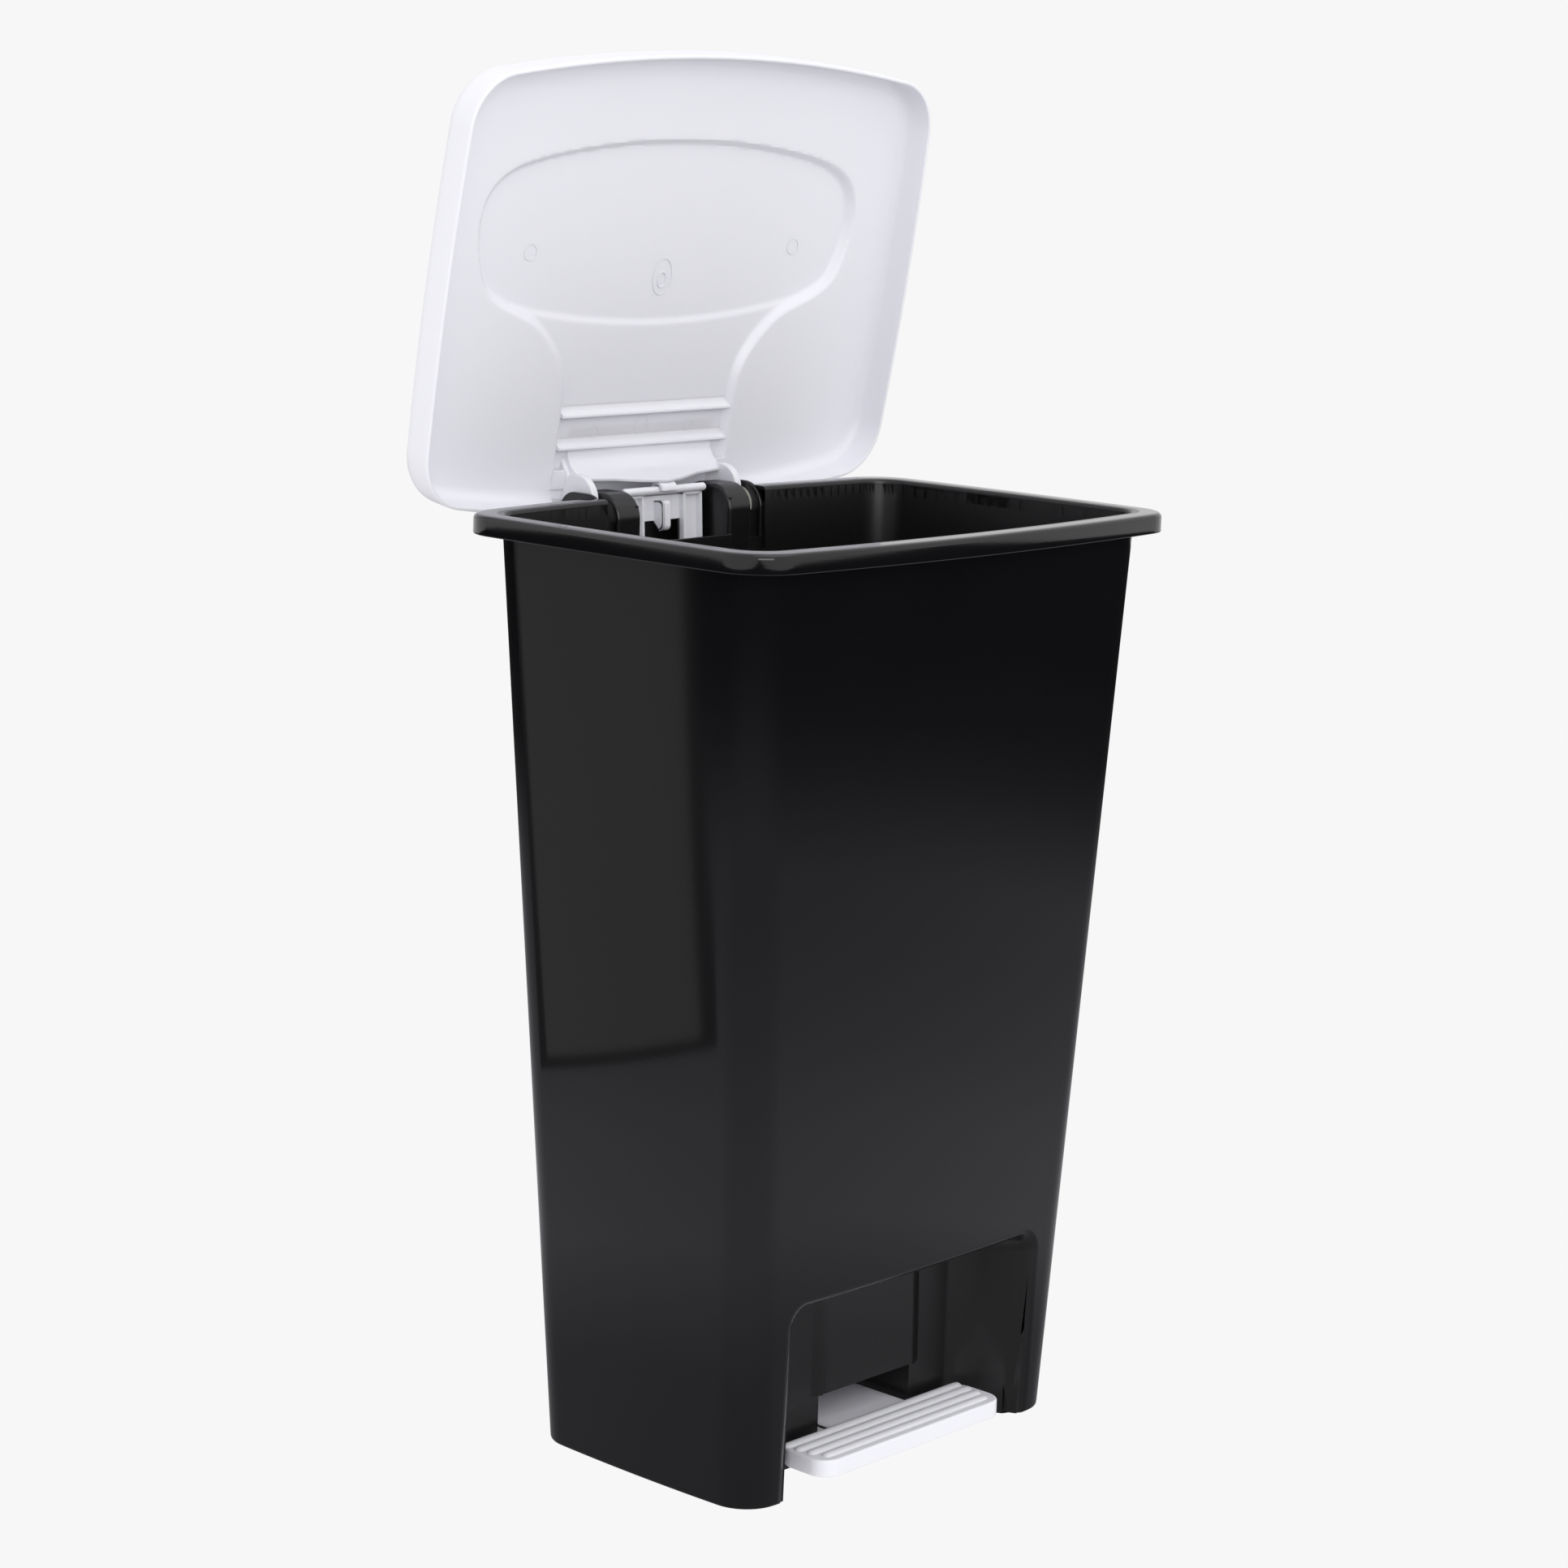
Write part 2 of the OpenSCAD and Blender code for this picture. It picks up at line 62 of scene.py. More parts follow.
def swelled_outline(width, depth, corner, front, side):
    """Plan of a moulded box: shallow arcs for its four sides, joined by round corners."""
    hx, hy = width/2 - side - corner, depth/2 - front - corner
    rf, rs = (hx*hx + front*front)/(2*front), (hy*hy + side*side)/(2*side)
    af, aside, quarter = math.asin(hx/rf), math.asin(hy/rs), math.pi/2
    right = np.vstack([
        arc(0, rf - hy - front, rf + corner, -quarter, -quarter + af, FRONT_STEPS),
        arc(hx, -hy, corner, -quarter + af, -aside, CORNER_STEPS),
        arc(hx + side - rs, 0, rs + corner, -aside, aside, SIDE_STEPS),
        arc(hx, hy, corner, aside, quarter - af, CORNER_STEPS),
        arc(0, hy + front - rf, rf + corner, quarter - af, quarter, FRONT_STEPS),
    ])
    left = right[:-1][::-1]*[-1, 1]
    return np.vstack([right, left, [[0, -depth/2]]])


def at_height(plan, z):
    return np.c_[plan, np.full(len(plan), float(z))]


def wall_ring(z, inset=0.0):
    t = z/RIM_TOP
    return at_height(swelled_outline(mix(301, 371, t) - 2*inset, mix(194, 251, t) - 2*inset,
                                     mix(26, 24.75, t) - inset, mix(2.5, 9, t), 1.6), z)


def rim_ring(z, inset=0.0):
    return at_height(swelled_outline(400 - 2*inset, 280 - 2*inset, 32 - inset, 9, 1.6), z)


def solid(name, points, faces):
    mesh = bpy.data.meshes.new(name)
    mesh.from_pydata((np.asarray(points, float)*MM).tolist(), [], faces)
    mesh.validate()
    obj = bpy.data.objects.new(name, mesh)
    bpy.context.collection.objects.link(obj)
    bm = bmesh.new()
    bm.from_mesh(mesh)
    bmesh.ops.recalc_face_normals(bm, faces=bm.faces)
    bm.to_mesh(mesh)
    bm.free()
    return obj


def loft(name, rings, endless=False):
    """A skin through rings of points, with its ends closed, or joined to each other."""
    n, count = len(rings[0]), len(rings)
    faces = []
    for k in range(count if endless else count - 1):
        a, b = k*n, ((k + 1) % count)*n
        faces += [(a + i, a + (i + 1) % n, b + (i + 1) % n, b + i) for i in range(n)]
    if not endless:
        faces += [tuple(range(n))[::-1], tuple(range((count - 1)*n, count*n))]
    return solid(name, np.vstack(rings), faces)


def settle(obj):
    bpy.context.view_layer.update()
    mesh = bpy.data.meshes.new_from_object(obj.evaluated_get(bpy.context.evaluated_depsgraph_get()))
    obj.modifiers.clear()
    obj.data = mesh
    return obj


def carve(obj, tool, how="DIFFERENCE"):
    cut = obj.modifiers.new("cut", "BOOLEAN")
    cut.operation, cut.object, cut.solver = how, tool, "EXACT"
    settle(obj)
    bpy.data.objects.remove(tool)
    return obj


def block(name, low, high):
    x, y, z = zip(low, high)
    corners = [(x[i], y[j], z[k]) for i in (0, 1) for j in (0, 1) for k in (0, 1)]
    sides = [(0, 1, 3, 2), (4, 6, 7, 5), (0, 4, 5, 1), (2, 3, 7, 6), (0, 2, 6, 4), (1, 5, 7, 3)]
    return solid(name, corners, sides)


def along_x(name, profile, x0, x1):
    """A profile in Y and Z, drawn out from x0 to x1."""
    p = np.asarray(profile, float)
    return loft(name, [np.c_[np.full(len(p), float(x)), p] for x in (x0, x1)])


def round_edges(obj, radius, segments=4, wanted=lambda middle: True, sharper_than=30):
    bm = bmesh.new()
    bm.from_mesh(obj.data)
    bmesh.ops.remove_doubles(bm, verts=bm.verts, dist=0.00001)
    edges = [e for e in bm.edges if len(e.link_faces) == 2
             and math.degrees(e.calc_face_angle(0)) > sharper_than
             and wanted((e.verts[0].co + e.verts[1].co)/(2*MM))]
    bmesh.ops.bevel(bm, geom=edges, offset=radius*MM, segments=segments, profile=0.5,
                    affect="EDGES", clamp_overlap=True)
    bm.to_mesh(obj.data)
    bm.free()
    return obj


def join(name, pieces):
    bm = bmesh.new()
    for piece in pieces:
        part = piece.data.copy()
        part.transform(piece.matrix_world)
        bm.from_mesh(part)
        bpy.data.objects.remove(piece)
    mesh = bpy.data.meshes.new(name)
    bm.to_mesh(mesh)
    bm.free()
    obj = bpy.data.objects.new(name, mesh)
    bpy.context.collection.objects.link(obj)
    return obj


def finish_shading(obj, sharp=32):
    obj.data.polygons.foreach_set("use_smooth", [True]*len(obj.data.polygons))
    obj.data.set_sharp_from_angle(angle=math.radians(sharp))
    even = obj.modifiers.new("even", "WEIGHTED_NORMAL")
    even.keep_sharp = True
    return settle(obj)


def front_line(x, z):
    """Where the front wall's face stands at a place."""
    ring = wall_ring(z)
    near = ring[ring[:, 1] < 0]
    order = np.argsort(near[:, 0])
    return np.interp(x, near[order, 0], near[order, 1])


def recess_tool(name, grow, lip=0.0):
    """The space of the foot recess: its sides flare to the front, its back corners are round, and
    with a lip its mouth rolls over into the front wall."""
    half, flare, mouth_y = 92 + grow, 0.5, -103.0
    back = RECESS_BACK + grow

    def ring(w, y_of, out=0.0):
        top, r = RECESS_TOP + grow + out, 12.0 + out
        a = np.linspace(0, math.pi/2, 13)
        right = [(w + out - r + r*math.cos(t), top - r + r*math.sin(t)) for t in a]
        low = [(w + out, z) for z in (-6, 20, 45, 70, 95)]
        across = [(x, top) for x in np.linspace(w + out - r, -(w + out - r), 25)[1:-1]]
        section = low + right + across + [(-x, z) for x, z in right[::-1]] + [(-x, z) for x, z in low[::-1]]
        return np.array([(x, y_of(x, z), z) for x, z in section])

    straight = [(half + flare*(back - y), y) for y in (-86 if lip else -160, back - 14)]
    p0, p1, p2 = np.array(straight[-1]), np.array([half, back]), np.array([half - 14, back])
    bend = [tuple((1 - t)**2*p0 + 2*t*(1 - t)*p1 + t*t*p2) for t in np.linspace(0, 1, 9)[1:]]
    rings = []
    if lip:
        side = half + flare*(back - mouth_y)
        rings.append(ring(side, lambda x, z: front_line(x, z) - 25, lip*0.9))
        for a in np.radians([84, 72, 60, 48, 36, 24, 12, 0]):
            depth = lip*(1 - math.sin(a))
            rolled = lip*(1 - math.cos(a))
            rings.append(ring(side - flare*depth, lambda x, z: front_line(x, z) + depth, rolled))
    rings += [ring(w, lambda x, z: y) for w, y in straight + bend]
    return loft(name, rings)


tub = loft("tub", [wall_ring(0, 1.4), wall_ring(0.35, 0.55), wall_ring(1.1, 0.12), wall_ring(2.2)]
           + [wall_ring(z) for z in (34, 70, 175, 260, 350, 440, 520, 570, 597.5)])
carve(tub, recess_tool("recess", 0, lip=7.0))
across_panel = np.linspace(-55, 55, 45)
panel_rings = []
for z, proud in ((43, 4.2), (70, 3.3), (95, 2.2), (114, 1.2), (119, -0.9)):
    rise = np.clip((55 - abs(across_panel))/14, 0, 1)
    face_y = RECESS_BACK + 0.4 - (proud + 0.4)*rise**2*(3 - 2*rise)
    face = [(x, y, z) for x, y in zip(across_panel, face_y)]
    panel_rings.append(np.array(face + [(55, -55, z), (-55, -55, z)]))
panel = loft("panel", panel_rings)
carve(tub, panel, "UNION")
cavity = loft("cavity", [wall_ring(52.5, WALL + 6), wall_ring(53.3, WALL + 3), wall_ring(55.5, WALL + 0.8),
                         wall_ring(58.5, WALL)] + [wall_ring(z, WALL) for z in (100, 200, 330, 460, 560, 610)])
carve(cavity, recess_tool("housing", WALL))
carve(tub, cavity)
under = loft("under", [wall_ring(-4, WALL), wall_ring(FLOOR_UNDER, WALL)])
carve(under, recess_tool("housing_low", WALL))
for side in (-1, 1):
    x0, x1 = sorted((side*44, side*46.5))
    carve(under, block("tunnel_rib", (x0, RECESS_BACK - 1, 3), (x1, 99, 60)))
carve(tub, under)
carve(tub, block("mouth", (-43.9, -75, -8), (43.9, -49, 43.9)))
carve(tub, block("rod_way", (-42.5, 84, -6), (42.5, 110, FLOOR_UNDER)))
carve(tub, block("hinge_gap", (-73, 117.5, 558), (73, 150, 612)))
foot = bmesh.new()
foot.from_mesh(tub.data)
bmesh.ops.bisect_plane(foot, geom=foot.verts[:] + foot.edges[:] + foot.faces[:], dist=0.00001,
                       plane_co=(0, 0, 0), plane_no=(0, 0, 1), clear_inner=True)
foot.to_mesh(tub.data)
foot.free()


# The turned-down rim: a channel section with a crowned top and round edges.
def rim_profile():
    rings = [wall_ring(z, WALL) for z in (590, 596.8)]
    for a in np.radians([25, 50, 75, 90]):
        rings.append(wall_ring(597.6 + 2.2*math.sin(a), WALL - 2.2*(1 - math.cos(a))))
    rings.append(at_height(wall_ring(RIM_TOP, -3)[:, :2], RIM_TOP))
    rings.append(rim_ring(RIM_TOP, 4.5))
    for a in np.radians([20, 40, 60, 80, 90]):
        rings.append(rim_ring(596.6 + 3.4*math.cos(a), 3.4*(1 - math.sin(a))))
    rings += [rim_ring(592), rim_ring(588.4)]
    for a in np.radians([30, 60, 90]):
        rings.append(rim_ring(588.4 - 0.9*math.sin(a), 0.9*(1 - math.cos(a))))
    rings += [rim_ring(587.5, WALL - 0.8), rim_ring(588.2, WALL)]
    rings += [rim_ring(596.9, WALL), rim_ring(597.5, WALL + 0.7)]
    rings += [wall_ring(597.5, -1.0), wall_ring(596.5, 0.0), wall_ring(590, 0.3)]
    return rings


rim = loft("rim", rim_profile(), endless=True)
carve(rim, block("rim_gap", (-73, 100, 550), (73, 160, 612)))

# The duct for the lift rod stands up the back, and the hinge lugs cross its top.
SLOPE = 28.5/RIM_TOP
HINGE = np.array([0.0, 143.0, 586.5])
INNER_LUG, OUTER_LUG = (41.2, 62.3), (71.5, 75.0)
PIN_HOLE_R = 12.02


def duct_ring(z):
    y0, y1, r = 96.0, 97 + 38.5, 4.0
    a = np.linspace(0, math.pi/2, 6)
    outer = [(45 - r + r*math.cos(t), y1 - r + r*math.sin(t)) for t in a]
    inner = [(42.5 - 1.5 + 1.5*math.cos(t), y1 - 4 + 1.5*math.sin(t)) for t in a]
    right = [(45, y0)] + outer
    left = [(-x, y) for x, y in right[::-1]]
    hollow_left = [(-42.5, y0)] + [(-x, y) for x, y in inner]
    hollow_right = [(x, y) for x, y in inner[::-1]] + [(42.5, y0)]
    plan = np.array(right + left + hollow_left + hollow_right)
    plan[:, 1] += SLOPE*z
    return at_height(plan, z)


duct = loft("duct", [duct_ring(z) for z in (0, 300, 594)])


def lug_profile(front=123.0, back=164.0, low=551.0, top=602.3):
    nose = [(front + 17 - 17*math.cos(a), top - 17 + 17*math.sin(a)) for a in np.linspace(0, math.pi/2, 17)]
    heel = [(back - 12 + 12*math.sin(a), top - 12 + 12*math.cos(a)) for a in np.linspace(0, math.pi/2, 13)]
    return [(front, low)] + nose + heel + [(back, low)]


lugs = []
for side in (-1, 1):
    inner = along_x("inner_lug", lug_profile(front=122.4), *sorted(side*x for x in INNER_LUG))
    outer = along_x("outer_lug", lug_profile(), *sorted(side*x for x in OUTER_LUG))
    round_edges(inner, 2.6, 5, lambda m: m.z > 559)
    round_edges(outer, 1.2, 3, lambda m: m.z > 559)
    hole = [(HINGE[1] + PIN_HOLE_R*math.cos(a), HINGE[2] + PIN_HOLE_R*math.sin(a))
            for a in np.linspace(0, 2*math.pi, 49)[:-1]]
    carve(outer, along_x("pin_hole", hole, side*66, side*90))
    x0, x1 = sorted((side*61.0, side*74.0))
    saddle = block("saddle", (x0, 122.6, 551), (x1, 164, 566))
    slot_front = block("slot_front", (x0, 126.6, 560), (x1, 128.2, 584.2))
    slot_back = block("slot_back", (x0, 159.5, 560), (x1, 163.0, 580))
    lugs += [inner, outer, saddle, slot_front, slot_back]
sill = block("sill", (-43.5, 121.6, 551), (43.5, 123.8, 570))
round_edges(sill, 0.7, 2, lambda m: m.z > 560)
body = finish_shading(join("bin_body_moulding", [tub, rim, duct]))
hinge_lugs = finish_shading(join("bin_hinge_lugs", [sill] + lugs))


def plastic(name, colour, rough, tint=0.03, grain=0.02, glow=0.0):
    """Moulded polypropylene: a faint uneven gloss, flow marks, fine grain and scuffs on its edges."""
    mat = bpy.data.materials.new(name)
    mat.use_nodes = True
    nodes, links = mat.node_tree.nodes, mat.node_tree.links
    shader = nodes["Principled BSDF"]
    place = nodes.new("ShaderNodeTexCoord")
    cloud = nodes.new("ShaderNodeTexNoise")
    cloud.inputs["Scale"].default_value = 9
    cloud.inputs["Detail"].default_value = 6
    links.new(place.outputs["Object"], cloud.inputs["Vector"])
    hue = nodes.new("ShaderNodeMix")
    hue.data_type = "RGBA"
    hue.inputs[6].default_value = (*[c*(1 - tint) for c in colour], 1)
    hue.inputs[7].default_value = (*[min(1, c*(1 + tint)) for c in colour], 1)
    links.new(cloud.outputs["Fac"], hue.inputs[0])
    geometry = nodes.new("ShaderNodeNewGeometry")
    edge = nodes.new("ShaderNodeValToRGB")
    edge.color_ramp.elements[0].position, edge.color_ramp.elements[1].position = 0.53, 0.62
    edge.color_ramp.elements[0].color = (0, 0, 0, 1)
    edge.color_ramp.elements[1].color = (1, 1, 1, 1)
    links.new(geometry.outputs["Pointiness"], edge.inputs["Fac"])
    scuff = nodes.new("ShaderNodeTexNoise")
    scuff.inputs["Scale"].default_value = 160
    scuff.inputs["Detail"].default_value = 4
    links.new(place.outputs["Object"], scuff.inputs["Vector"])
    worn = nodes.new("ShaderNodeMath")
    worn.operation = "MULTIPLY"
    links.new(edge.outputs["Color"], worn.inputs[0])
    links.new(scuff.outputs["Fac"], worn.inputs[1])
    rub = nodes.new("ShaderNodeMapRange")
    rub.inputs["To Min"].default_value = rough*0.86
    rub.inputs["To Max"].default_value = rough*1.18
    links.new(cloud.outputs["Fac"], rub.inputs["Value"])
    dull = nodes.new("ShaderNodeMath")
    dull.operation = "MULTIPLY_ADD"
    dull.inputs[1].default_value = 0.12
    links.new(worn.outputs[0], dull.inputs[0])
    links.new(rub.outputs["Result"], dull.inputs[2])
    links.new(dull.outputs[0], shader.inputs["Roughness"])
    links.new(hue.outputs[2], shader.inputs["Base Color"])
    fine = nodes.new("ShaderNodeTexNoise")
    fine.inputs["Scale"].default_value = 900
    fine.inputs["Detail"].default_value = 3
    links.new(place.outputs["Object"], fine.inputs["Vector"])
    bump = nodes.new("ShaderNodeBump")
    bump.inputs["Strength"].default_value = grain
    bump.inputs["Distance"].default_value = 0.0002
    links.new(fine.outputs["Fac"], bump.inputs["Height"])
    links.new(bump.outputs["Normal"], shader.inputs["Normal"])
    shader.inputs["IOR"].default_value = 1.49
    if glow:
        shader.inputs["Subsurface Weight"].default_value = glow
        shader.inputs["Subsurface Radius"].default_value = (0.004, 0.004, 0.0045)
        shader.inputs["Subsurface Scale"].default_value = 1.0
    return mat


black = plastic("black_plastic", (0.0035, 0.0035, 0.0042), 0.055, tint=0.2, grain=0.02)
satin = plastic("black_plastic_satin", (0.005, 0.005, 0.0055), 0.27, tint=0.2, grain=0.06)
for piece, finishes in ((body, (black, satin)), (hinge_lugs, (satin,))):
    piece.data.materials.clear()
    for finish in finishes:
        piece.data.materials.append(finish)
    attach(piece, "base")
    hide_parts("bin_body")
for face in body.data.polygons:
    x, y, z = face.center/MM
    inside = face.normal.x*x + face.normal.y*y < 0 and z > 3
    in_recess = abs(x) < 121 and z < 133 and front_line(x, z) + 1.2 < y < -50
    face.material_index = int(inside or in_recess)

# ---- The hinge pins -----------------------------------------------------------------------------
# Two hollow pins of undyed plastic, pressed through the outer lug and the lid's ear into a blind
# hole in the inner lug. Their closed ends show on the outside.
def turned(name, profile, centre, steps=48):
    """A shape turned on a lathe about an axis along X: profile points are (x, radius)."""
    rings = []
    for x, r in profile:
        a = np.linspace(0, 2*math.pi, steps + 1)[:-1]
        rings.append(np.c_[np.full(steps, float(x)), centre[1] + r*np.cos(a), centre[2] + r*np.sin(a)])
    return loft(name, rings)


mottled = plastic("mottled_plastic", (0.60, 0.60, 0.54), 0.45, tint=0.35, grain=0.3)
PIN_SHAPE = [(57.3, 0.05), (57.3, 7.4), (57.9, 8.0), (71.0, 8.0), (71.6, 8.4), (71.9, 12.0), (75.6, 12.0),
             (76.3, 11.7), (76.5, 11.0), (76.5, 3.0), (76.0, 2.4), (76.0, 0.05)]
for side, name in ((-1, "left"), (1, "right")):
    pin = turned("hinge_pin_" + name + "_moulding", [(side*x, r) for x, r in PIN_SHAPE], HINGE)
    pin.data.materials.append(mottled)
    finish_shading(pin)
    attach(pin, "base")
    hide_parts("hinge_pin_" + name)

# ---- The lid ------------------------------------------------------------------------------------
# One white polypropylene moulding: a shallow dish with a mushroom-shaped panel raised in its top.
# It is worked out closed, from the hinge line, and then turned open with its ears on the pins.
OPEN = math.radians(80)
SKIRT_EDGE, PLATE, LID_WALL, RISE = 5.2, 27.2, 2.6, 6.0
LID_BACK, LID_WIDTH, LID_DEPTH = 3.0, 427.0, 302.0
ACROSS, ALONG = 264, 188


def even_ring(plan, counts):
    """The outline again, with a point at each corner's middle and even steps between them."""
    closed = np.vstack([plan, plan[:1]])
    run = np.r_[0, np.cumsum(np.linalg.norm(np.diff(closed, axis=0), axis=1))]
    corner = LID_WIDTH/2, LID_DEPTH/2
    marks = [run[np.argmin(np.linalg.norm(plan - [sx*corner[0], sy*corner[1]], axis=1))]
             for sx, sy in ((-1, -1), (1, -1), (1, 1), (-1, 1))]
    total, spots = run[-1], []
    for k, n in enumerate(counts):
        a, b = marks[k], marks[(k + 1) % 4]
        b = b + total if b <= a else b
        spots.append(np.linspace(a, b, n + 1)[:-1] % total)
    spots = np.concatenate(spots)
    return np.c_[np.interp(spots, run, closed[:, 0]), np.interp(spots, run, closed[:, 1])]


# The lid's outline is drawn with finer steps than the tub's.
FRONT_STEPS, CORNER_STEPS, SIDE_STEPS = 90, 40, 110
lid_plan = even_ring(swelled_outline(LID_WIDTH, LID_DEPTH, 38, 13, 2.4), (ACROSS, ALONG, ACROSS, ALONG))
step = np.roll(lid_plan, -1, 0) - np.roll(lid_plan, 1, 0)
inward = np.c_[-step[:, 1], step[:, 0]]/np.linalg.norm(step, axis=1)[:, None]
lid_plan[:, 1] += LID_BACK - LID_DEPTH/2


def lid_ring(z, inset=0.0):
    return at_height(lid_plan + inset*inward, z)


def patch(ring):
    """Plan points that fill a ring with rows across the lid and columns along it."""
    n, m = ACROSS, ALONG
    low, right = ring[:n + 1], ring[n:n + m + 1]
    top, left = ring[n + m:2*n + m + 1][::-1], np.vstack([ring[2*n + m:], ring[:1]])[::-1]
    u, v = np.linspace(0, 1, n + 1)[None, :, None], np.linspace(0, 1, m + 1)[:, None, None]
    ends = (1 - u)*(1 - v)*low[0] + u*(1 - v)*low[-1] + (1 - u)*v*top[0] + u*v*top[-1]
    return (1 - v)*low[None] + v*top[None] + (1 - u)*left[:, None] + u*right[:, None] - ends


def smooth_shape(points, rounds=4):
    p = np.array(points, float)
    for _ in range(rounds):
        a, b = p[:-1], p[1:]
        q = np.empty((2*len(a), 2))
        q[0::2], q[1::2] = 0.75*a + 0.25*b, 0.25*a + 0.75*b
        p = np.vstack([p[:1], q, p[-1:]])
    return p


def depth_inside(shape, points):
    """How far inside a closed shape each point is; negative outside."""
    a, b = shape, np.roll(shape, -1, 0)
    far = np.full(len(points), 1e9)
    inside = np.zeros(len(points), bool)
    for (ax, ay), (bx, by) in zip(a, b):
        dx, dy = bx - ax, by - ay
        t = np.clip(((points[:, 0] - ax)*dx + (points[:, 1] - ay)*dy)/(dx*dx + dy*dy + 1e-12), 0, 1)
        far = np.minimum(far, np.hypot(points[:, 0] - ax - t*dx, points[:, 1] - ay - t*dy))
        inside ^= ((ay > points[:, 1]) != (by > points[:, 1])) & (
            points[:, 0] < ax + (points[:, 1] - ay)/(by - ay + 1e-12)*dx)
    return np.where(inside, far, -far)


def ease(x):
    x = np.clip(x, 0, 1)
    return x*x*(3 - 2*x)


half_shape = smooth_shape([(0, 243), (40, 242.4), (90, 237.5), (133, 230), (156, 221), (168, 208), (172, 192),
                           (170, 171), (161, 148), (147, 138.5), (128, 131.5), (112, 125), (97, 112), (86, 98),
                           (80.5, 84), (79.2, 66), (79, 34), (79, 18)])
mushroom = np.vstack([half_shape, (half_shape*[-1, 1])[::-1]])
mushroom[:, 1] = LID_BACK - mushroom[:, 1]
brow = np.array([(x, LID_BACK - (122 + 12.5*(x/131)**2)) for x in np.linspace(-131, 131, 41)])


def panel_lift(points):
    """How far the lid's sheet is pushed up at each plan point."""
    edge = depth_inside(mushroom, points)
    lift = (RISE - 1.4)*ease((edge + 1.2)/5.0)
    brow_y = np.interp(points[:, 0], brow[:, 0], brow[:, 1])
    past = brow_y - points[:, 1]
    return lift + 1.4*ease((edge + 1.2)/5.0)*ease((past + 2)/4.5)


inner_rings = [lid_ring(SKIRT_EDGE + 0.9, 0.05), lid_ring(SKIRT_EDGE + 0.25, 0.4), lid_ring(SKIRT_EDGE, 1.0),
               lid_ring(SKIRT_EDGE, 1.7), lid_ring(SKIRT_EDGE + 0.3, 2.3), lid_ring(SKIRT_EDGE + 1, LID_WALL)]
inner_rings += [lid_ring(z, LID_WALL) for z in (10, 15, 19)]
for a in np.radians([15, 30, 45, 60, 75, 90]):
    inner_rings.append(lid_ring(PLATE - 7 + 7*math.sin(a), LID_WALL + 8*(1 - math.cos(a))))
outer_rings = [lid_ring(z) for z in (SKIRT_EDGE + 3, 10, 15, 20)]
for a in np.radians([12, 24, 36, 48, 60, 72, 84, 90]):
    outer_rings.append(lid_ring(PLATE + LID_WALL - 8.6 + 8.6*math.sin(a), 9.5*(1 - math.cos(a))))


def dish(name, under_rings, over_rings):
    """The lid's sheet: a skirt of rings, closed under and over by sheets that carry the panel."""
    faces = []
    rings = under_rings[::-1] + over_rings
    n = len(rings[0])
    for k in range(len(rings) - 1):
        faces += [(k*n + i, k*n + (i + 1) % n, (k + 1)*n + (i + 1) % n, (k + 1)*n + i) for i in range(n)]
    points = np.vstack(rings)
    for ring, first, lid_z, flip in ((rings[0], 0, PLATE, True),
                                     (rings[-1], (len(rings) - 1)*n, PLATE + LID_WALL, False)):
        grid = patch(ring[:, :2])
        m1, n1 = grid.shape[:2]
        flat = grid.reshape(-1, 2)
        z = lid_z + panel_lift(flat)
        index = np.arange(m1*n1).reshape(m1, n1) + len(points)
        points = np.vstack([points, np.c_[flat, z]])
        edge = np.concatenate([index[0, :-1], index[:-1, -1], index[-1, :0:-1], index[:0:-1, 0]])
        swap = dict(zip(edge.tolist(), range(first, first + n)))
        for j in range(m1 - 1):
            for i in range(n1 - 1):
                quad = [index[j, i], index[j, i + 1], index[j + 1, i + 1], index[j + 1, i]]
                quad = tuple(swap.get(int(q), int(q)) for q in quad)
                faces.append(quad[::-1] if flip else quad)
    return solid(name, points, faces)


sheet = dish("lid_sheet", inner_rings, outer_rings)
bm = bmesh.new()
bm.from_mesh(sheet.data)
bmesh.ops.delete(bm, geom=[v for v in bm.verts if not v.link_faces], context="VERTS")
bm.to_mesh(sheet.data)
bm.free()
notch = block("notch", (-79, -12, -30), (79, 12, 26.0))
carve(sheet, notch)


# The ears turn on the pins between the lugs; their fronts are round and they fade into the neck.
EAR_IN, EAR_OUT = 63.9, 69.5


def circle_points(cy, cz, r, start, end, steps):
    return [(cy + r*math.cos(a), cz + r*math.sin(a)) for a in np.radians(np.linspace(start, end, steps))]


ear_profile = (circle_points(0, 0, 10.4, -158, 40, 30) + [(6.0, PLATE + 1), (-34, PLATE + RISE + 1)]
               + circle_points(-8.4, 13.6, 16.0, 140, 262, 20))
ears = []
for side in (-1, 1):
    ear = along_x("ear", ear_profile, *sorted((side*EAR_IN, side*EAR_OUT)))
    round_edges(ear, 0.9, 3)
    bore = turned("ear_bore", [(side*(EAR_IN - 3), 8.08), (side*(EAR_OUT + 3), 8.08)], [0, 0, 0])
    carve(ear, bore)
    x0, x1 = sorted((side*EAR_OUT, side*79.5))
    shelf = block("ear_shelf", (x0 - 0.5, -24, 25.5), (x1 + 0.5, -12.0, PLATE + 1))
    ears += [ear, shelf]

